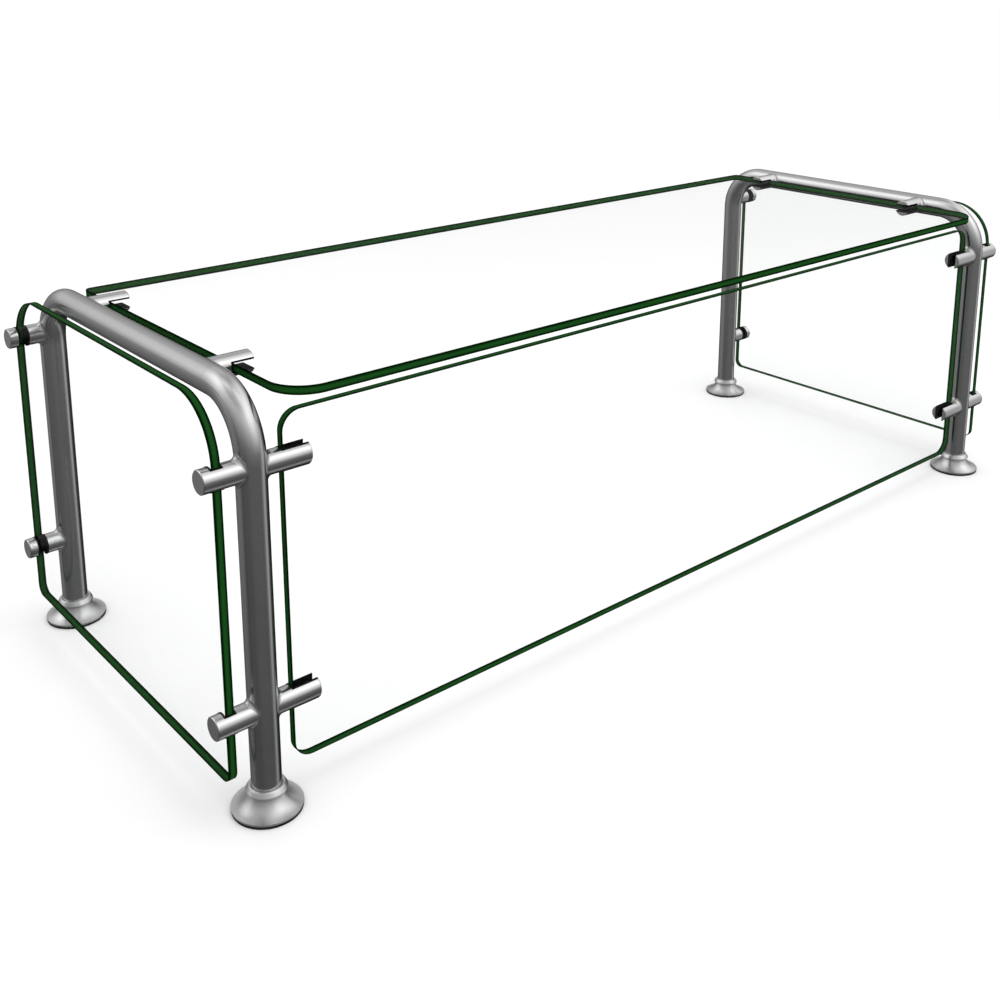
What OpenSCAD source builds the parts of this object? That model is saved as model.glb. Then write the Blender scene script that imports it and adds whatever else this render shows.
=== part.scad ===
// Countertop sneeze guard: two bent tube hoops carry four glass panels in slotted, rubber-lined clamps.
// Millimetres, +Z up. The origin is on the counter, midway between the four feet.
// X runs along the guard from hoop to hoop, and -Y is the guest side. The server side, +Y, is open.

/* [Hoops] */
// Distance between the two hoops, tube centre to tube centre
hoop_spacing = 1600; // [1000:10:2000]
// Depth of a hoop, leg centre to leg centre
leg_spacing = 600; // [480:10:760]
// Height of a hoop's top run above the counter, to the tube centre
rail_height = 534; // [500:1:640]
// Outside diameter of the tube
tube_d = 38.1; // [34:0.1:40]
// Wall thickness of the tube
tube_wall = 2; // [1.2:0.1:3]
// Radius of the two bends in each hoop, to the tube centre
bend_r = 76.2; // [60:0.1:90]

/* [Glass] */
// Thickness of every glass panel
glass_t = 12; // [8:1:12]
// Gap from a hoop's tube centre to the ends of the front and top panels
panel_inset = 39; // [36:1:45]
// Height of the front panel's lower edge
front_bottom = 47; // [44:1:80]
// Distance from the front panel's upper edge up to the rail centre
front_drop = 26; // [18:1:40]
// Corner radius of the front panel
front_corner_r = 26; // [10:1:40]
// How far the top panel reaches past the front legs' centres
top_overhang = 28; // [10:1:40]
// Distance from the top panel's rear edge to the rear legs' centres
top_rear_gap = 36; // [10:1:60]
// Radius of the top panel's front corners
top_front_corner_r = 50; // [20:1:60]
// Radius of the top panel's rear corners
top_rear_corner_r = 10; // [5:1:30]
// Distance from a hoop's tube centre out to the middle of the end panel
end_offset = 47; // [44:1:52]
// How far the end panel's upright edges pass the leg centres
end_overlap = 6; // [4:0.5:7]
// Height of the end panel's lower edge
end_bottom = 55; // [44:1:80]
// How far the end panel's upper edge stands above the rail centre
end_rise = 6; // [0:1:12]
// Radius of the end panel's upper corners
end_top_corner_r = 78; // [50:1:90]
// Radius of the end panel's lower corners
end_low_corner_r = 16; // [8:1:40]

/* [Clamps] */
// Diameter of the clamp bars
clamp_d = 30; // [28:0.5:32]
// Chamfer round the free end of a clamp bar
clamp_chamfer = 1; // [0.5:0.1:2]
// Reach of an end-panel clamp, from the tube centre to its outer face
end_clamp_reach = 67; // [64:1:74]
// Reach of a front-panel clamp, from the tube centre to its open end
front_clamp_reach = 75; // [66:1:90]
// Reach of a top-panel clamp, from the tube centre to its open end
top_clamp_reach = 69; // [62:1:85]
// Thickness of the rubber lining on each side of the glass
lining_t = 2; // [1:0.25:2.5]
// How far the lining stands proud of the clamp bar
lining_lip = 0.6; // [0.2:0.1:1]
// Height of the lower clamps on every leg
clamp_low_z = 136; // [130:1:180]
// Height of the upper clamps on the front legs
clamp_front_high_z = 449; // [380:1:455]
// Height of the upper end-panel clamps on the rear legs
clamp_rear_high_z = 474; // [380:1:474]
// Distance along the rail from a leg to the nearer top-panel clamp
rail_clamp_inset = 119; // [92:1:160]
// Diameter of the grub screws in the front and top clamps
grub_d = 6; // [4:1:6]
// Width of the grub screws' hexagon socket, across its flats
grub_socket = 3; // [2:0.5:3]

/* [Feet] */
// Diameter of a foot cover at its rim
cover_d = 90; // [86:1:100]
// Height of the rim's upright edge
cover_rim_h = 2.2; // [1.5:0.1:3]
// Sheet thickness of the foot cover
cover_wall = 1.5; // [1.2:0.1:2]
// Radius of the cover's hollow flare
flare_r = 22.5; // [18:0.5:24]
// Radius of the bead round the cover's neck
bead_r = 3.3; // [2.8:0.1:3.8]
// Gap between the cover and the tube, on the radius
cover_gap = 0.35; // [0.2:0.05:0.6]
// Thickness of the rubber pad under the foot
pad_t = 3.5; // [1:0.5:4]
// Diameter of the screw-down plate
plate_d = 62; // [60:1:63]
// Thickness of the screw-down plate
plate_t = 4; // [3:0.5:4]
// Diameter of the circle through a foot's three screw holes
screw_circle_d = 50; // [49:0.5:51]
// Diameter of the screw holes
screw_hole_d = 6; // [4:0.5:6]

/* [Hidden] */
$fn = 96;
SIDES = ["left", "right"];
ENDS = ["front", "rear"];
LEVELS = ["low", "high"];

steel = [0.66, 0.67, 0.68];
rubber = [0.06, 0.06, 0.06];
glass_green = [0.72, 0.86, 0.78, 0.4];

leg_x = hoop_spacing / 2;
leg_y = leg_spacing / 2;
tube_r = tube_d / 2;
clamp_r = clamp_d / 2;
slot_w = glass_t + 2 * lining_t;
panel_half = leg_x - panel_inset;
slot_start = panel_inset - lining_t;
grub_at = (slot_start + front_clamp_reach) / 2;
grub_recess = 1;
grub_length = sqrt(pow(clamp_r, 2) - pow(grub_d / 2, 2)) - slot_w / 2 - grub_recess;
cover_r = cover_d / 2;
cover_bore_r = tube_r + cover_gap;
// A foot cover stands this far above its pad, so that the two never bind.
cover_lift = 0.3;
rim_top = pad_t + cover_lift + cover_rim_h;
neck_z = rim_top + flare_r;
neck_r = cover_r - flare_r;
// The bead overhangs the neck, and a narrower collar carries it up to the tube.
bead_ring_r = neck_r + 0.5;
bead_z = neck_z - 1.7;
collar_r = bead_r - 0.7;
collar_ring_r = cover_bore_r + 1.8;
collar_z = neck_z + 2.5;
plate_top = pad_t + plate_t;
spigot_h = 24;
spigot_gap = 0.05;
// Cutting tools run this far past the solids they cut.
past = 5;

function x_of(side) = side == "left" ? -leg_x : leg_x;
function y_of(end) = end == "front" ? -leg_y : leg_y;
function high_z(end) = end == "front" ? clamp_front_high_z : clamp_rear_high_z;
function end_clamp_z(end, level) = level == "low" ? clamp_low_z : high_z(end);
function rail_clamp_y(end) = end == "front" ? rail_clamp_inset - leg_y : leg_y - rail_clamp_inset;

// A round path of one radius along a hoop: two legs from z0 up, two bends and the top run.
module hoop_path(r, z0) {
    for (sy = [-1, 1]) {
        translate([0, sy * leg_y, z0]) cylinder(r = r, h = rail_height - bend_r - z0);
        translate([0, sy * (leg_y - bend_r), rail_height - bend_r]) rotate([0, 0, sy * 90])
            rotate([90, 0, 0]) rotate_extrude(angle = 90) translate([bend_r, 0]) circle(r = r);
    }
    translate([0, bend_r - leg_y, rail_height]) rotate([-90, 0, 0]) cylinder(r = r, h = leg_spacing - 2 * bend_r);
}

module hoop(side) {
    color(steel) translate([x_of(side), 0, 0]) difference() {
        hoop_path(tube_r, plate_top);
        hoop_path(tube_r - tube_wall, plate_top);
    }
}

// Cuts the inner end of a clamp to the outside of its hoop's tube, bends included.
module coped(side) {
    color(steel) difference() {
        children();
        translate([x_of(side), 0, 0]) hoop_path(tube_r, plate_top);
    }
}

// The round plate under a leg, with a spigot that centres it in the tube and three screw holes.
module foot_plate(side, end) {
    color(steel) translate([x_of(side), y_of(end), pad_t]) difference() {
        union() {
            cylinder(d = plate_d, h = plate_t);
            cylinder(r = tube_r - tube_wall - spigot_gap, h = plate_t + spigot_h);
        }
        screw_holes(plate_t);
    }
}

module foot_pad(side, end) {
    color(rubber) translate([x_of(side), y_of(end), 0]) difference() {
        cylinder(r = cover_r - 0.5, h = pad_t);
        screw_holes(pad_t);
    }
}

// Three holes on the screw circle, through a disc that is t thick.
module screw_holes(t) {
    for (i = [0 : 2])
        rotate([0, 0, 90 + 120 * i]) translate([screw_circle_d / 2, 0, -past])
            cylinder(d = screw_hole_d, h = t + 2 * past);
}

// The flared cover that slides up the leg: a rim, a hollow flare, a neck and a rounded bead.
module foot_cover(side, end) {
    color(steel) translate([x_of(side), y_of(end), 0]) rotate_extrude() difference() {
        union() {
            cover_outline(cover_r, flare_r);
            hull() {
                translate([bead_ring_r, bead_z]) circle(r = bead_r);
                translate([collar_ring_r, collar_z]) circle(r = collar_r);
            }
        }
        translate([0, -cover_wall]) cover_outline(cover_r - cover_wall, flare_r);
        translate([0, -past]) square([cover_bore_r, neck_z + 4 * past]);
    }
}

// Half of the flare's section, from the axis out to radius r, with an arc of radius arc_r taken away.
module cover_outline(r, arc_r) {
    difference() {
        translate([0, pad_t + cover_lift]) square([r, neck_z - pad_t - cover_lift]);
        translate([r, neck_z]) circle(r = arc_r);
    }
}

// A flat panel's outline, from (x0, y0) to (x1, y1), with one corner radius at y0 and another at y1.
module panel_outline(x0, y0, x1, y1, r0, r1) {
    difference() {
        translate([x0, y0]) square([x1 - x0, y1 - y0]);
        for (c = [[x0, y0, 1, 1, r0], [x1, y0, -1, 1, r0], [x0, y1, 1, -1, r1], [x1, y1, -1, -1, r1]])
            translate([c[0], c[1]]) scale([c[2], c[3]]) difference() {
                translate([-past, -past]) square(c[4] + past);
                translate([c[4], c[4]]) circle(r = c[4]);
            }
    }
}

// The front panel stands in the plane of the front legs.
module glass_front() {
    color(glass_green) translate([0, glass_t / 2 - leg_y, 0]) rotate([90, 0, 0]) linear_extrude(glass_t)
        panel_outline(-panel_half, front_bottom, panel_half, rail_height - front_drop,
            front_corner_r, front_corner_r);
}

// The top panel lies at the height of the rails' centres.
module glass_top() {
    color(glass_green) translate([0, 0, rail_height - glass_t / 2]) linear_extrude(glass_t)
        panel_outline(-panel_half, -leg_y - top_overhang, panel_half, leg_y - top_rear_gap,
            top_front_corner_r, top_rear_corner_r);
}

// An end panel stands outside its hoop, and its upper corners follow the bends.
module glass_end(side) {
    out = side == "left" ? -1 : 1;
    color(glass_green) translate([x_of(side) + out * end_offset - glass_t / 2, 0, 0])
        rotate([90, 0, 90]) linear_extrude(glass_t)
            panel_outline(-leg_y - end_overlap, end_bottom, leg_y + end_overlap, rail_height + end_rise,
                end_low_corner_r, end_top_corner_r);
}

// A clamp bar along +X from the tube's centre line, with a chamfered free end.
module bar(reach) {
    rotate([0, 90, 0]) {
        cylinder(r = clamp_r, h = reach - clamp_chamfer);
        translate([0, 0, reach - clamp_chamfer])
            cylinder(r1 = clamp_r, r2 = clamp_r - clamp_chamfer, h = clamp_chamfer);
    }
}

// A round rod along +X from x0 to x1, for the linings.
module rod(r, x0, x1) {
    translate([x0, 0, 0]) rotate([0, 90, 0]) cylinder(r = r, h = x1 - x0);
}

// Places a piece drawn for the right front leg, where outward is +X and mid-depth is +Y.
module at_leg(side, end, z) {
    translate([x_of(side), y_of(end), z])
        mirror([side == "left" ? 1 : 0, 0, 0])
            mirror([0, end == "rear" ? 1 : 0, 0]) children();
}

// Places a piece drawn along +X so that it points inward from a hoop.
module inward(side, y, z) {
    translate([x_of(side), y, z]) mirror([side == "right" ? 1 : 0, 0, 0]) children();
}

// The slot of an end clamp, drawn for the right front leg: it opens towards mid-depth.
module end_slot(r) {
    translate([end_offset - slot_w / 2, -end_overlap - lining_t, -r])
        cube([slot_w, end_overlap + lining_t + r, 2 * r]);
}

module end_clamp(side, end, level) {
    coped(side) at_leg(side, end, end_clamp_z(end, level)) difference() {
        bar(end_clamp_reach);
        end_slot(clamp_r + past);
    }
}

module end_lining(side, end, level) {
    color(rubber) at_leg(side, end, end_clamp_z(end, level)) difference() {
        intersection() {
            rod(clamp_r + lining_lip, end_offset - slot_w / 2, end_offset + slot_w / 2);
            end_slot(clamp_r + past);
        }
        translate([end_offset - glass_t / 2, -end_overlap, -2 * clamp_r])
            cube([glass_t, 4 * clamp_r, 4 * clamp_r]);
    }
}

// A level slot from slot_start out past the free end of a bar.
module inward_slot(reach) {
    translate([slot_start, -slot_w / 2, -2 * clamp_r]) cube([reach, slot_w, 4 * clamp_r]);
}

// The threaded hole of a grub screw, through the jaw on the +Y side.
module grub_hole() {
    translate([grub_at, 0, 0]) rotate([-90, 0, 0]) cylinder(d = grub_d, h = 2 * clamp_r);
}

// An inward clamp before it is turned, with its slot between a -Y jaw and a +Y jaw.
module jaw_pair(reach) {
    difference() {
        bar(reach);
        inward_slot(reach);
        grub_hole();
    }
}

// The rubber lining of an inward clamp, wrapped round the panel's edge.
module jaw_lining(reach) {
    difference() {
        intersection() {
            rod(clamp_r + lining_lip, slot_start, reach - clamp_chamfer);
            inward_slot(reach);
        }
        translate([panel_inset, -glass_t / 2, -2 * clamp_r]) cube([reach, glass_t, 4 * clamp_r]);
    }
}

// A grub screw that bears on the lining, with its hexagon socket facing out.
module grub() {
    translate([grub_at, slot_w / 2, 0]) rotate([-90, 0, 0]) difference() {
        cylinder(d = grub_d, h = grub_length);
        translate([0, 0, grub_length / 2]) cylinder(d = grub_socket / cos(30), h = grub_length, $fn = 6);
    }
}

// Puts an inward piece on a front leg, with its grub screw on the server side.
module on_front_leg(side, level) {
    inward(side, -leg_y, level == "low" ? clamp_low_z : clamp_front_high_z) children();
}

// Puts an inward piece on a rail, turned so that its grub screw is underneath.
module on_rail(side, end) {
    inward(side, rail_clamp_y(end), rail_height) rotate([-90, 0, 0]) children();
}

module front_clamp(side, level) {
    coped(side) on_front_leg(side, level) jaw_pair(front_clamp_reach);
}

module front_lining(side, level) {
    color(rubber) on_front_leg(side, level) jaw_lining(front_clamp_reach);
}

module top_clamp(side, end) {
    coped(side) on_rail(side, end) jaw_pair(top_clamp_reach);
}

module top_lining(side, end) {
    color(rubber) on_rail(side, end) jaw_lining(top_clamp_reach);
}

module grub_screws() {
    color(steel) for (s = SIDES) {
        for (v = LEVELS) on_front_leg(s, v) grub();
        for (e = ENDS) on_rail(s, e) grub();
    }
}

for (s = SIDES) {
    hoop(s);
    glass_end(s);
    for (e = ENDS) {
        foot_plate(s, e);
        foot_pad(s, e);
        foot_cover(s, e);
        top_clamp(s, e);
        top_lining(s, e);
        for (v = LEVELS) {
            end_clamp(s, e, v);
            end_lining(s, e, v);
        }
    }
    for (v = LEVELS) {
        front_clamp(s, v);
        front_lining(s, v);
    }
}
glass_front();
glass_top();
grub_screws();
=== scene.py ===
"""The looks of a countertop sneeze guard: steel hoops and clamps, green-edged glass and black rubber.

The CAD nodes stay where they are and get their finishes here. The four glass panels are rebuilt as
slabs with ground edges, and a weld is laid round every joint between a clamp and its tube.
Everything is in metres, +Z up, with the guest side towards -Y.
"""
import math

import bmesh
import bpy
from mathutils import Matrix, Vector


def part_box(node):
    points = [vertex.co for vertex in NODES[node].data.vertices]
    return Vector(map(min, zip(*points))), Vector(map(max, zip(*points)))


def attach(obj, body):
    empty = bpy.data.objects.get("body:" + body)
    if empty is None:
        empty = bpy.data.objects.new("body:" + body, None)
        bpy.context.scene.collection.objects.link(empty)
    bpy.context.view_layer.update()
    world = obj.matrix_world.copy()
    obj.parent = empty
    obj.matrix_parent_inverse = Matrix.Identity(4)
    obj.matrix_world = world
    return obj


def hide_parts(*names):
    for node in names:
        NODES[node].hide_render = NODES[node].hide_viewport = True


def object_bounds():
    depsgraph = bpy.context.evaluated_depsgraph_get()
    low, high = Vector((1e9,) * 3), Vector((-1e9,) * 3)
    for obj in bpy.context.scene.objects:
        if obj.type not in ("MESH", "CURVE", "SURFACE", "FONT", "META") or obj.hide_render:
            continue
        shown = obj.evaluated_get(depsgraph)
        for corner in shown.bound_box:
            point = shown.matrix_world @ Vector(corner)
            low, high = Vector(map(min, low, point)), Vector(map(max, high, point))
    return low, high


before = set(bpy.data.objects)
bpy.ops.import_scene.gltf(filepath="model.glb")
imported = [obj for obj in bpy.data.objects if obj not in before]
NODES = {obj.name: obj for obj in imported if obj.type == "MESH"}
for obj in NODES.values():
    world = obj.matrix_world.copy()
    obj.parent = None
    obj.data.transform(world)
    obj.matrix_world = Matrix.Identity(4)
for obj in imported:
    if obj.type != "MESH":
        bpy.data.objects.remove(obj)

MM = 0.001
CAD_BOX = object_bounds()
SIDES = ("left", "right")
ENDS = ("front", "rear")
LEVELS = ("low", "high")


# ---------------------------------------------------------------- sizes taken from the frame

def middle(node):
    """The centre of a CAD node's box."""
    low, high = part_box(node)
    return (low + high) / 2


HOOP_LOW, HOOP_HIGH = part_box("hoop_right")
TUBE_R = (HOOP_HIGH.x - HOOP_LOW.x) / 2
LEG_Y = HOOP_HIGH.y - TUBE_R
RAIL_Z = HOOP_HIGH.z - TUBE_R
CLAMP_LOW, CLAMP_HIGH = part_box("end_clamp_front_left_low")
CLAMP_R = (CLAMP_HIGH.z - CLAMP_LOW.z) / 2


# ---------------------------------------------------------------- sizes that its boxes don't give

# The hoops' bend and the glass panels' corners are as in the CAD. A panel's two radii are those of its
# corners at the low side and at the high side of Y or, on an upright panel, of Z.
BEND_R = 76.2 * MM
FRONT_GLASS_R = (26 * MM, 26 * MM)
TOP_GLASS_R = (50 * MM, 10 * MM)
END_GLASS_R = (16 * MM, 78 * MM)
GLASS_ARRIS = 0.8 * MM
# The longest step along a panel's corner.
ARC_STEP = 1.5 * MM

WELD_FILLET = 6.5 * MM
# The weld's toes and its hidden root go into the steel by this much.
WELD_SUNK = 0.12 * MM
WELD_ROOT = 3 * MM
# Steps round a weld's bar, and from its tube to its bar.
WELD_AROUND, WELD_ACROSS = 96, 10

CLAMP_EDGE = 0.4 * MM
# The depth of the fine lines in the steel.
STEEL_GROOVE = 0.0015 * MM

# The camera stands in front and to the left of the guard.
CAMERA_AT = (-1.445, -1.506, 1.026)
CAMERA_YAW, CAMERA_PITCH = math.radians(40.55), math.radians(13.18)
CAMERA_LENS, CAMERA_SENSOR = 44.57, 36.0
CAMERA_SHIFT = (-0.005, -0.255)
CAMERA_CLIP = (0.05, 200.0)

SOFTBOX_AT, SOFTBOX_TARGET = Vector((0.2, -0.6, 2.6)), Vector((0, 0, 0.2))
SOFTBOX_SIZE = (2.6, 1.6)
SOFTBOX_WATTS = 14.0

FLOOR_R = 60.0
# The even surround's brightness, which reflections don't see.
SURROUND = 1.08


# ---------------------------------------------------------------- node trees

# The largest result of a curve between stops.
CURVE_TOP = 2.0
# Noises stay near their middle, so they are read between these two values.
NOISE_LOW, NOISE_HIGH = 0.3, 0.7


class Nodes:
    """A node tree, emptied, with short calls that add nodes and join them."""

    def __init__(self, tree):
        self.tree = tree
        self.tree.nodes.clear()

    def node(self, kind, inputs=None, **settings):
        made = self.tree.nodes.new(kind)
        for key, value in settings.items():
            setattr(made, key, value)
        for socket, value in (inputs or {}).items():
            self.put(made.inputs[socket], value)
        return made

    def put(self, socket, value):
        if isinstance(value, bpy.types.NodeSocket):
            self.tree.links.new(value, socket)
        else:
            socket.default_value = value

    def math(self, operation, a, b=0.0):
        return self.node("ShaderNodeMath", {0: a, 1: b}, operation=operation).outputs[0]

    def times(self, a, b):
        return self.math("MULTIPLY", a, b)

    def length(self, a, b):
        """The length of the vector (a, b)."""
        return self.math("SQRT", self.math("ADD", self.times(a, a), self.times(b, b)))

    def ramp(self, value, low, high, from_low=0.0, from_high=1.0):
        """A number that goes from low to high as value goes from from_low to from_high."""
        made = self.node("ShaderNodeMapRange", {
            "Value": value, "From Min": from_low, "From Max": from_high, "To Min": low, "To Max": high})
        return made.outputs[0]

    def curve(self, value, stops):
        """A smooth line through (value, result) stops, with results from 0 to CURVE_TOP."""
        start, end = stops[0][0], stops[-1][0]
        share = self.math("DIVIDE", self.math("SUBTRACT", value, start), end - start)
        made = self.node("ShaderNodeValToRGB", {0: share})
        made.color_ramp.interpolation = "EASE"
        marks = made.color_ramp.elements
        marks[0].color, marks[-1].color = grey(stops[0][1] / CURVE_TOP), grey(stops[-1][1] / CURVE_TOP)
        for at, result in stops[1:-1]:
            marks.new((at - start) / (end - start)).color = grey(result / CURVE_TOP)
        return self.times(made.outputs[0], CURVE_TOP)


class Shader(Nodes):
    """A new material's node tree."""

    def __init__(self, name):
        self.material = bpy.data.materials.new(name)
        self.material.use_nodes = True
        super().__init__(self.material.node_tree)

    def where(self):
        """The point that is shaded, in metres."""
        return self.node("ShaderNodeTexCoord").outputs["Object"]

    def split(self, vector):
        return self.node("ShaderNodeSeparateXYZ", {0: vector}).outputs

    def vector(self, x, y, z):
        return self.node("ShaderNodeCombineXYZ", {0: x, 1: y, 2: z}).outputs[0]

    def noise(self, where, scale=1.0, detail=3.0, roughness=0.6):
        made = self.node("ShaderNodeTexNoise", {
            "Vector": where, "Scale": scale, "Detail": detail, "Roughness": roughness})
        return made.outputs["Fac"]

    def stretched_noise(self, places, scales, roughness=0.6):
        """Noise with its own scale along each of three places, so that it makes lines or long patches."""
        scaled = [self.times(place, scale) for place, scale in zip(places, scales)]
        return self.noise(self.vector(*scaled), roughness=roughness)

    def blend(self, share, first, second):
        """A colour between first and second."""
        made = self.node("ShaderNodeMix", {"Factor": share}, data_type="RGBA")
        self.put(made.inputs[6], first)
        self.put(made.inputs[7], second)
        return made.outputs[2]

    def bump(self, height, distance):
        return self.node("ShaderNodeBump", {"Height": height, "Distance": distance}).outputs[0]

    def finish(self, surface):
        self.node("ShaderNodeOutputMaterial", {"Surface": surface})
        return self.material


def grey(value):
    return (value, value, value, 1.0)


def tinted(tone, red, green, blue):
    """A grey with its own share of each colour."""
    return (tone * red, tone * green, tone * blue, 1.0)


# ---------------------------------------------------------------- steel

def steel(shader, lines, mottle, tone, roughness, tangent, anisotropy, turn):
    """A satin steel. lines is a noise of fine lines, and mottle one of slow, faint stains."""
    bright, stained = tinted(tone, 1.02, 1.022, 1.026), tinted(tone, 0.92, 0.915, 0.9)
    lined = shader.blend(shader.ramp(lines, 0.0, 1.0, NOISE_LOW, NOISE_HIGH), grey(tone * 0.97), bright)
    colour = shader.blend(shader.ramp(mottle, 0.0, 0.35, 0.35, 0.75), lined, stained)
    rough = shader.math("ADD", shader.ramp(lines, -0.02, 0.025, NOISE_LOW, NOISE_HIGH),
                        shader.ramp(mottle, roughness - 0.03, roughness + 0.05, NOISE_LOW, NOISE_HIGH))
    surface = shader.node("ShaderNodeBsdfPrincipled", {
        "Base Color": colour, "Metallic": 1.0, "Roughness": rough,
        "Anisotropic": anisotropy, "Anisotropic Rotation": turn,
        "Normal": shader.bump(lines, STEEL_GROOVE), "Tangent": tangent})
    return shader.finish(surface.outputs[0])


def tube_steel(name, tone, roughness, anisotropy):
    """Bent tube, polished round its girth, so that its lines follow the bends."""
    shader = Shader(name)
    x, y, z = shader.split(shader.where())
    past_y = shader.math("SUBTRACT", shader.math("ABSOLUTE", y), LEG_Y - BEND_R)
    past_z = shader.math("SUBTRACT", z, RAIL_Z - BEND_R)
    out_y = shader.math("MAXIMUM", past_y, 0.0)
    out_z = shader.math("MAXIMUM", past_z, 0.0)
    # Distance along the tube's centre line: up the leg, round the bend and along the rail.
    round_bend = shader.times(shader.math("ARCTAN2", out_z, out_y), BEND_R)
    straight = shader.math("SUBTRACT", shader.math("MINIMUM", past_z, 0.0),
                           shader.math("MINIMUM", past_y, 0.0))
    along = shader.math("ADD", straight, round_bend)
    reach = shader.length(out_y, out_z)
    # Quick changes along the tube and slow ones across it make lines round it.
    lines = shader.stretched_noise((along, reach, x), (1100.0, 45.0, 45.0))
    mottle = shader.stretched_noise((along, reach, x), (9.0, 30.0, 30.0), roughness=0.55)
    backward = shader.times(shader.times(out_z, shader.math("SIGN", y)), -1.0)
    tangent = shader.vector(0.0, backward, out_y)
    return steel(shader, lines, mottle, tone, roughness, tangent, anisotropy, 0.0)


def turned_steel(name, axis, tone, roughness, anisotropy):
    """Steel turned or spun about an axis along X or Z through the middle of its own piece."""
    shader = Shader(name)
    x, y, z = shader.split(shader.where())
    centre = shader.node("ShaderNodeAttribute", attribute_type="OBJECT", attribute_name="turned_about")
    cx, cy, cz = shader.split(centre.outputs["Vector"])
    along, first, second = {
        "X": (x, shader.math("SUBTRACT", y, cy), shader.math("SUBTRACT", z, cz)),
        "Z": (z, shader.math("SUBTRACT", x, cx), shader.math("SUBTRACT", y, cy))}[axis]
    radius = shader.length(first, second)
    lines = shader.stretched_noise((along, radius, first), (1800.0, 1800.0, 40.0))
    mottle = shader.noise(shader.where(), 38.0, roughness=0.55)
    tangent = shader.node("ShaderNodeTangent", direction_type="RADIAL", axis=axis).outputs[0]
    # A quarter turn lays the gloss across the lines.
    return steel(shader, lines, mottle, tone, roughness, tangent, anisotropy, 0.25)


def weld_steel(name):
    """The dressed weld between a clamp and its tube, with the faint ripple that grinding leaves."""
    shader = Shader(name)
    ripple = shader.noise(shader.where(), 420.0)
    mottle = shader.noise(shader.where(), 90.0, 2.0, 0.5)
    stained = tinted(0.47, 1.0, 0.989, 0.968)
    surface = shader.node("ShaderNodeBsdfPrincipled", {
        "Base Color": shader.blend(shader.ramp(mottle, 0.0, 1.0, 0.35, 0.7), grey(0.58), stained),
        "Metallic": 1.0, "Roughness": shader.ramp(ripple, 0.2, 0.34, NOISE_LOW, NOISE_HIGH),
        "Normal": shader.bump(ripple, 0.012 * MM)})
    return shader.finish(surface.outputs[0])


# ---------------------------------------------------------------- rubber and glass

def rubber(name, tone):
    """Black rubber with a fine moulded grain and a trace of dust."""
    shader = Shader(name)
    grain = shader.noise(shader.where(), 1400.0, 2.0)
    dust = shader.noise(shader.where(), 70.0, 4.0)
    dusty = tinted(tone, 2.0, 1.95, 1.85)
    surface = shader.node("ShaderNodeBsdfPrincipled", {
        "Base Color": shader.blend(shader.ramp(dust, 0.0, 1.0, 0.45, 0.8), grey(tone), dusty),
        "Roughness": shader.ramp(grain, 0.55, 0.8, NOISE_LOW, NOISE_HIGH),
        "Specular IOR Level": 0.1, "Normal": shader.bump(grain, 0.03 * MM)})
    return shader.finish(surface.outputs[0])


def clear_glass(name):
    """The faces of a panel: see-through, with reflections that grow towards a glancing view."""
    shader = Shader(name)
    wiped = shader.noise(shader.where(), 6.0, 4.0)
    tint = shader.blend(wiped, (0.986, 0.989, 0.988, 1.0), (0.993, 0.995, 0.994, 1.0))
    facing = shader.node("ShaderNodeLayerWeight", {"Blend": 0.5}).outputs["Facing"]
    # The face mirrors 1 percent of what meets it head on, and more at a glancing view.
    mirrored = shader.math("ADD", shader.times(shader.math("POWER", facing, 5.0), 0.12), 0.01)
    through = shader.node("ShaderNodeBsdfTransparent", {"Color": tint}).outputs[0]
    gloss = shader.node("ShaderNodeBsdfAnisotropic", {
        "Color": grey(1.0), "Roughness": shader.ramp(wiped, 0.0, 0.05, 0.35, 0.7)}).outputs[0]
    surface = shader.node("ShaderNodeMixShader", {0: mirrored, 1: through, 2: gloss})
    return shader.finish(surface.outputs[0])


def glass_edge(name):
    """The ground and polished edge, deep green in the middle, with painted shade that darkens it to near
    black along its two borders.
    """
    shader = Shader(name)
    uv = shader.node("ShaderNodeTexCoord").outputs["UV"]
    along, across, _ = shader.split(uv)
    from_middle = shader.math("ABSOLUTE", shader.math("SUBTRACT", across, 0.5))
    streaks = shader.stretched_noise((along, across, 0.0), (12.0, 9.0, 1.0))
    depth = shader.math("ADD", from_middle, shader.ramp(streaks, -0.07, 0.07, NOISE_LOW, NOISE_HIGH))
    # The green is the glass's own colour. The near-black is painted shade, laid along both borders by the
    # distance from the middle and the streaks.
    green, painted_border_shade = (0.009, 0.058, 0.0105, 1.0), (0.0003, 0.007, 0.0004, 1.0)
    colour = shader.blend(shader.ramp(depth, 0.0, 1.0, 0.14, 0.34), green, painted_border_shade)
    polish = shader.noise(uv, 900.0, 2.0, 0.5)
    surface = shader.node("ShaderNodeBsdfPrincipled", {
        "Base Color": colour, "Roughness": shader.ramp(polish, 0.12, 0.24, NOISE_LOW, NOISE_HIGH),
        "Specular IOR Level": 0.004, "Normal": shader.bump(polish, 0.005 * MM)})
    return shader.finish(surface.outputs[0])


# ---------------------------------------------------------------- mesh pieces

def new_piece(name, bm, materials):
    """Makes an object of the guard from a bmesh, and closes the bmesh."""
    bmesh.ops.recalc_face_normals(bm, faces=bm.faces)
    mesh = bpy.data.meshes.new(name)
    bm.to_mesh(mesh)
    bm.free()
    for material in materials:
        mesh.materials.append(material)
    piece = bpy.data.objects.new(name, mesh)
    bpy.context.scene.collection.objects.link(piece)
    return piece


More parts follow.
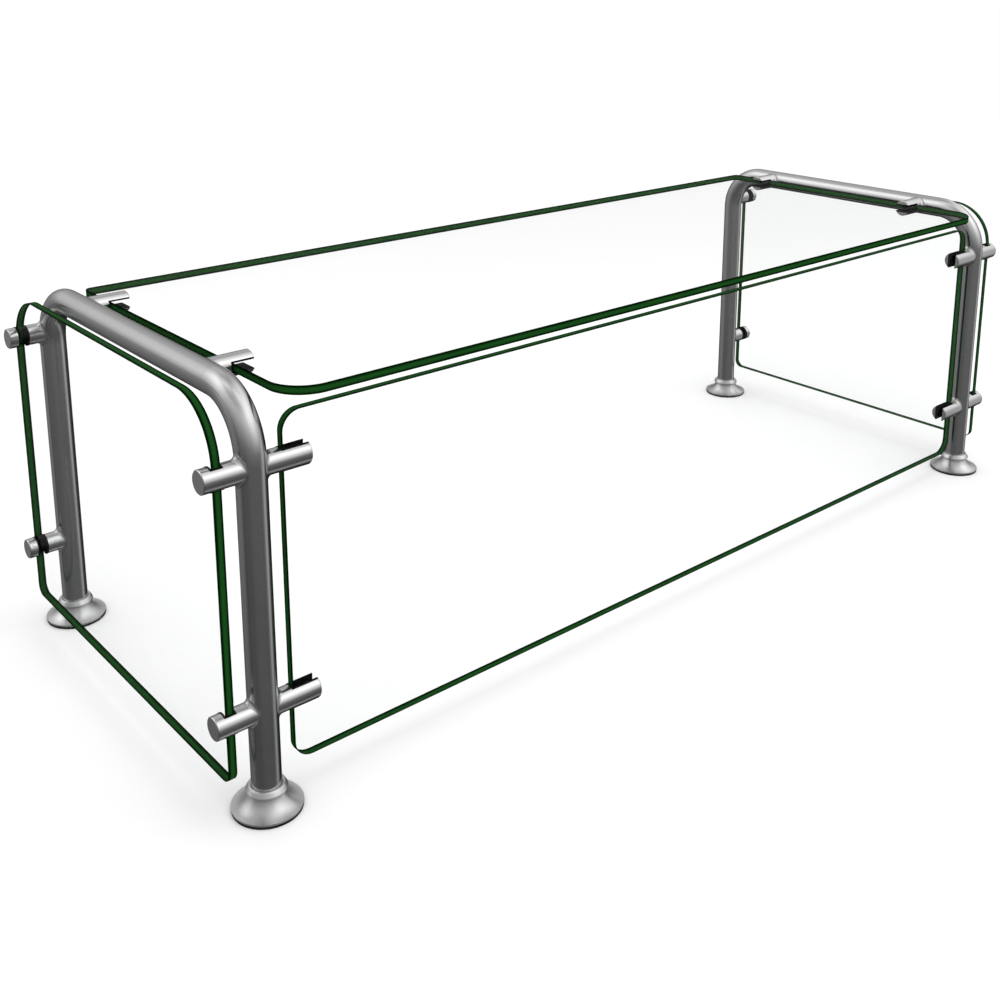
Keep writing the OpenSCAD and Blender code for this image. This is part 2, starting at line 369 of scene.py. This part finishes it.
def rounded_outline(low, high, low_r, high_r):
    """A rounded rectangle as (point, outward direction) pairs, with a radius at low[1] and one at high[1]."""
    corners = [
        (high[0], low[1], 1, -1, low_r, -90), (high[0], high[1], 1, 1, high_r, 0),
        (low[0], high[1], -1, 1, high_r, 90), (low[0], low[1], -1, -1, low_r, 180)]
    pairs = []
    for cx, cy, sx, sy, radius, start in corners:
        count = max(8, math.ceil(radius * math.pi / 2 / ARC_STEP))
        for i in range(count + 1):
            angle = math.radians(start + 90 * i / count)
            out = Vector((math.cos(angle), math.sin(angle)))
            centre = Vector((cx - sx * radius, cy - sy * radius))
            pairs.append((centre + out * radius, out))
    return pairs


def glass_slab(node, thin, radii, face_material, edge_material):
    """A panel in its CAD node's box. thin is the axis of its thickness, radii the corners' (low, high)."""
    low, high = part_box(node)
    wide = [axis for axis in range(3) if axis != thin]
    pairs = rounded_outline([low[a] for a in wide], [high[a] for a in wide], *radii)
    thick = high[thin] - low[thin]
    rings = [(GLASS_ARRIS, 0.0), (0.0, GLASS_ARRIS), (0.0, thick - GLASS_ARRIS), (GLASS_ARRIS, thick)]
    bm = bmesh.new()
    uv_layer = bm.loops.layers.uv.new("edge")
    loops, places = [], []
    for inset, depth in rings:
        loop = []
        for point, out in pairs:
            flat = point - out * inset
            at = Vector((0, 0, 0))
            at[wide[0]], at[wide[1]], at[thin] = flat.x, flat.y, low[thin] + depth
            loop.append(bm.verts.new(at))
        loops.append(loop)
        places.append(depth / thick)
    along = [0.0]
    for (a, _), (b, _) in zip(pairs, pairs[1:] + pairs[:1]):
        along.append(along[-1] + (b - a).length)
    count = len(pairs)
    for ring in range(len(rings) - 1):
        for i in range(count):
            j = (i + 1) % count
            face = bm.faces.new((
                loops[ring][i], loops[ring][j], loops[ring + 1][j], loops[ring + 1][i]))
            face.material_index = 1
            face.smooth = True
            corners = ((along[i], places[ring]), (along[i + 1], places[ring]),
                       (along[i + 1], places[ring + 1]), (along[i], places[ring + 1]))
            for corner, uv in zip(face.loops, corners):
                corner[uv_layer].uv = uv
    bm.faces.new(loops[0])
    bm.faces.new(loops[-1])
    for ring in loops:
        for i in range(count):
            edge = bm.edges.get((ring[i], ring[(i + 1) % count]))
            edge.smooth = False
    slab = new_piece(node + "_slab", bm, (face_material, edge_material))
    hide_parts(node)
    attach(slab, "guard")


def nearest_on_hoop(y, z):
    """The point of a hoop's centre line nearest to y and z: on a leg, on a bend or on the rail."""
    side = math.copysign(1, y)
    past_y, past_z = abs(y) - (LEG_Y - BEND_R), z - (RAIL_Z - BEND_R)
    if past_z <= 0:
        return Vector((0, side * LEG_Y, z))
    if past_y <= 0:
        return Vector((0, y, RAIL_Z))
    reach = BEND_R / math.hypot(past_y, past_z)
    return Vector((0, side * (LEG_Y - BEND_R + past_y * reach), RAIL_Z - BEND_R + past_z * reach))


def arc_between(start, end, share):
    """The vector that is a share of the way round the arc between two equally long vectors."""
    angle = start.angle(end)
    return (start * math.sin((1 - share) * angle) + end * math.sin(share * angle)) / math.sin(angle)


def weld_section(centre, turn):
    """One section of a weld at an angle round the bar's axis, with x counted outward from the hoop's plane.

    A ball of the fillet's radius rests on the tube and on the bar, and the section follows it from one to
    the other. A last point inside the steel closes the section.
    """
    def off_bar(radius, height):
        """The point radius away from the bar's axis and height away from the tube's centre line."""
        y = centre.y + radius * math.cos(turn)
        z = centre.z + radius * math.sin(turn)
        foot = nearest_on_hoop(y, z)
        x = math.sqrt(height ** 2 - (y - foot.y) ** 2 - (z - foot.z) ** 2)
        return Vector((x, y, z)), foot

    ball, foot = off_bar(CLAMP_R + WELD_FILLET, TUBE_R + WELD_FILLET)
    to_tube = (foot - ball) * WELD_FILLET / (TUBE_R + WELD_FILLET)
    to_bar = Vector((0, -math.cos(turn), -math.sin(turn))) * WELD_FILLET
    points = []
    for k in range(WELD_ACROSS + 1):
        sunk = WELD_SUNK if k in (0, WELD_ACROSS) else 0.0
        reach = 1 + sunk / WELD_FILLET
        points.append(ball + arc_between(to_tube, to_bar, k / WELD_ACROSS) * reach)
    inside, _ = off_bar(CLAMP_R - WELD_ROOT, TUBE_R)
    inside.x -= WELD_ROOT
    return points + [inside]


def weld(clamp, hoop, material):
    """A dressed fillet round the joint between a clamp bar and its hoop."""
    centre, hoop_x = middle(clamp), middle(hoop).x
    outward = math.copysign(1, centre.x - hoop_x)
    bm = bmesh.new()
    rings = []
    for i in range(WELD_AROUND):
        section = weld_section(centre, 2 * math.pi * i / WELD_AROUND)
        rings.append([bm.verts.new((hoop_x + outward * at.x, at.y, at.z)) for at in section])
    for i in range(WELD_AROUND):
        a, b = rings[i], rings[(i + 1) % WELD_AROUND]
        for k in range(len(a)):
            n = (k + 1) % len(a)
            bm.faces.new((a[k], b[k], b[n], a[n])).smooth = k < WELD_ACROSS
    piece = new_piece("weld_" + clamp, bm, (material,))
    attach(piece, "guard")


def ease_edges(node):
    """Rounds a clamp's sharp edges a little, without changing its own mesh."""
    piece = NODES[node]
    seam = piece.modifiers.new("join_seams", "WELD")
    seam.merge_threshold = 0.002 * MM
    bevel = piece.modifiers.new("eased_edges", "BEVEL")
    bevel.width = CLAMP_EDGE
    bevel.segments = 2
    bevel.limit_method = "ANGLE"
    bevel.angle_limit = math.radians(35)
    bevel.use_clamp_overlap = True
    bevel.harden_normals = False
    normals = piece.modifiers.new("even_shading", "WEIGHTED_NORMAL")
    normals.keep_sharp = False


def paint(node, material):
    """Gives a CAD node one material in all of its slots, and notes the middle that it is turned about."""
    piece = NODES[node]
    for slot in piece.material_slots:
        slot.material = material
    piece["turned_about"] = list(middle(node))


# ---------------------------------------------------------------- studio

def floor():
    """A wide pale floor. Reflections don't see it, so it shows no mirror image in the steel."""
    shader = Shader("pale_floor")
    cloud = shader.noise(shader.where(), 0.7, 2.0, 0.5)
    colour = shader.blend(cloud, grey(0.925), grey(0.945))
    surface = shader.node("ShaderNodeBsdfDiffuse", {"Color": colour})
    bm = bmesh.new()
    bmesh.ops.create_circle(bm, cap_ends=True, segments=96, radius=FLOOR_R)
    mesh = bpy.data.meshes.new("pale_floor")
    bm.to_mesh(mesh)
    bm.free()
    mesh.materials.append(shader.finish(surface.outputs[0]))
    ground = bpy.data.objects.new("pale_floor", mesh)
    ground.location.z = CAD_BOX[0].z
    ground.visible_glossy = False
    bpy.context.scene.collection.objects.link(ground)


def reflected_studio(sky, x, y, z):
    """The brightness that reflections meet: grey panels near the counter and bright ones above."""
    # By compass direction, in degrees from +X towards +Y.
    compass = sky.times(sky.math("ARCTAN2", y, x), 180 / math.pi)
    near_ground = sky.curve(compass, [
        (-180, 0.11), (-155, 0.11), (-120, 0.14), (-70, 0.14), (-55, 0.12), (-40, 0.2), (-29, 0.48),
        (-18, 0.5), (-8, 0.12), (0, 0.02), (55, 0.02), (80, 0.09), (105, 0.19), (125, 0.2),
        (144, 0.22), (163, 0.13), (180, 0.11)])
    overhead = sky.curve(compass, [
        (-180, 0.45), (-140, 0.45), (-100, 0.6), (-72, 0.95), (-55, 1.2), (-30, 1.0), (0, 0.8),
        (18, 0.7), (34, 0.4), (50, 0.36), (62, 0.46), (80, 0.47), (100, 0.68), (120, 1.02),
        (140, 1.05), (152, 0.8), (162, 0.55), (180, 0.45)])
    # By height: the sine of the angle above the counter.
    falling = sky.curve(z, [
        (-1.0, 1.1), (-0.9, 0.9), (-0.65, 0.65), (-0.38, 1.0), (-0.2, 1.3), (0.0, 1.5), (1.0, 1.5)])
    rising = sky.curve(z, [
        (-1.0, 0.3), (-0.2, 0.3), (0.0, 0.46), (0.1, 0.58), (0.29, 0.85), (0.4, 1.05), (0.57, 1.4),
        (0.74, 1.6), (0.9, 1.1), (1.0, 0.95)])
    upper = sky.curve(z, [(-1.0, 0.0), (-0.2, 0.0), (0.12, 1.0), (1.0, 1.0)])
    ceiling = sky.curve(z, [(-1.0, 0.0), (0.88, 0.0), (0.98, 0.25), (1.0, 0.25)])
    low = sky.times(sky.times(near_ground, falling), sky.math("SUBTRACT", 1.0, upper))
    high = sky.math("ADD", sky.times(sky.times(overhead, rising), upper), ceiling)
    return sky.math("ADD", low, high)


def studio_light():
    """An even white surround, and a darker studio with bright panels that only reflections see."""
    world = bpy.data.worlds.new("studio")
    bpy.context.scene.world = world
    world.use_nodes = True
    world.cycles.sampling_method = "NONE"
    sky = Nodes(world.node_tree)
    direction = sky.node("ShaderNodeTexCoord").outputs["Generated"]
    studio = reflected_studio(sky, *sky.node("ShaderNodeSeparateXYZ", {0: direction}).outputs)
    path = sky.node("ShaderNodeLightPath").outputs
    reflected = sky.times(path["Is Glossy Ray"], sky.math("SUBTRACT", 1.0, path["Is Transmission Ray"]))
    background = sky.node("ShaderNodeBackground", {
        "Color": grey(1.0), "Strength": sky.ramp(reflected, SURROUND, studio)})
    sky.node("ShaderNodeOutputWorld", {"Surface": background.outputs[0]})


def softbox():
    """A large soft lamp above and in front, which lays a faint shadow under the guard."""
    light = bpy.data.lights.new("overhead", "AREA")
    light.shape = "RECTANGLE"
    light.size, light.size_y = SOFTBOX_SIZE
    light.energy = SOFTBOX_WATTS
    lamp = bpy.data.objects.new("overhead", light)
    lamp.location = SOFTBOX_AT
    lamp.rotation_euler = (SOFTBOX_TARGET - SOFTBOX_AT).to_track_quat("-Z", "Y").to_euler()
    lamp.visible_glossy = False
    bpy.context.scene.collection.objects.link(lamp)


def camera():
    """Looks down at the guard a little, with the shift that brings it back into the frame."""
    forward = Vector((math.sin(CAMERA_YAW) * math.cos(CAMERA_PITCH),
                      math.cos(CAMERA_YAW) * math.cos(CAMERA_PITCH), -math.sin(CAMERA_PITCH)))
    right = Vector((math.cos(CAMERA_YAW), -math.sin(CAMERA_YAW), 0))
    up = right.cross(forward)
    data = bpy.data.cameras.new("camera")
    data.lens, data.sensor_width = CAMERA_LENS, CAMERA_SENSOR
    data.shift_x, data.shift_y = CAMERA_SHIFT
    data.clip_start, data.clip_end = CAMERA_CLIP
    eye = bpy.data.objects.new("camera", data)
    turned = Matrix((right, up, -forward)).transposed()
    eye.matrix_world = Matrix.Translation(CAMERA_AT) @ turned.to_4x4()
    bpy.context.scene.collection.objects.link(eye)
    bpy.context.scene.camera = eye


# ---------------------------------------------------------------- the scene

def dress_steel_and_rubber():
    """Gives every CAD node but the glass its material."""
    tube = tube_steel("tube_satin", tone=0.6, roughness=0.2, anisotropy=0.5)
    bar = turned_steel("clamp_bar_satin", "X", tone=0.64, roughness=0.2, anisotropy=0.3)
    cover = turned_steel("spun_cover_satin", "Z", tone=0.72, roughness=0.34, anisotropy=0.9)
    plate = turned_steel("plate_steel_plain", "Z", tone=0.45, roughness=0.34, anisotropy=0.2)
    screw = turned_steel("grub_screw_steel", "X", tone=0.35, roughness=0.3, anisotropy=0.0)
    pad = rubber("pad_rubber", tone=0.012)
    lining = rubber("lining_rubber_black", tone=0.003)
    for side in SIDES:
        paint("hoop_" + side, tube)
        for end in ENDS:
            paint(f"foot_cover_{end}_{side}", cover)
            paint(f"foot_plate_{end}_{side}", plate)
            paint(f"foot_pad_{end}_{side}", pad)
    for name in NODES:
        if "_clamp_" in name:
            paint(name, bar)
            ease_edges(name)
        if "_lining_" in name:
            paint(name, lining)
    paint("grub_screws", screw)


def lay_welds():
    """A weld for each of the 16 clamps."""
    material = weld_steel("dressed_weld")
    for side in SIDES:
        hoop = "hoop_" + side
        for level in LEVELS:
            weld(f"front_clamp_{side}_{level}", hoop, material)
            for end in ENDS:
                weld(f"end_clamp_{end}_{side}_{level}", hoop, material)
        for end in ENDS:
            weld(f"top_clamp_{end}_{side}", hoop, material)


def glaze():
    """Puts a slab in the place of each glass panel."""
    faces, edges = clear_glass("clear_glass_face"), glass_edge("polished_green_edge")
    glass_slab("glass_front", 1, FRONT_GLASS_R, faces, edges)
    glass_slab("glass_top", 2, TOP_GLASS_R, faces, edges)
    for side in SIDES:
        glass_slab("glass_end_" + side, 0, END_GLASS_R, faces, edges)


camera()
dress_steel_and_rubber()
lay_welds()
glaze()
floor()
studio_light()
softbox()
bpy.context.scene.view_settings.view_transform = "Standard"
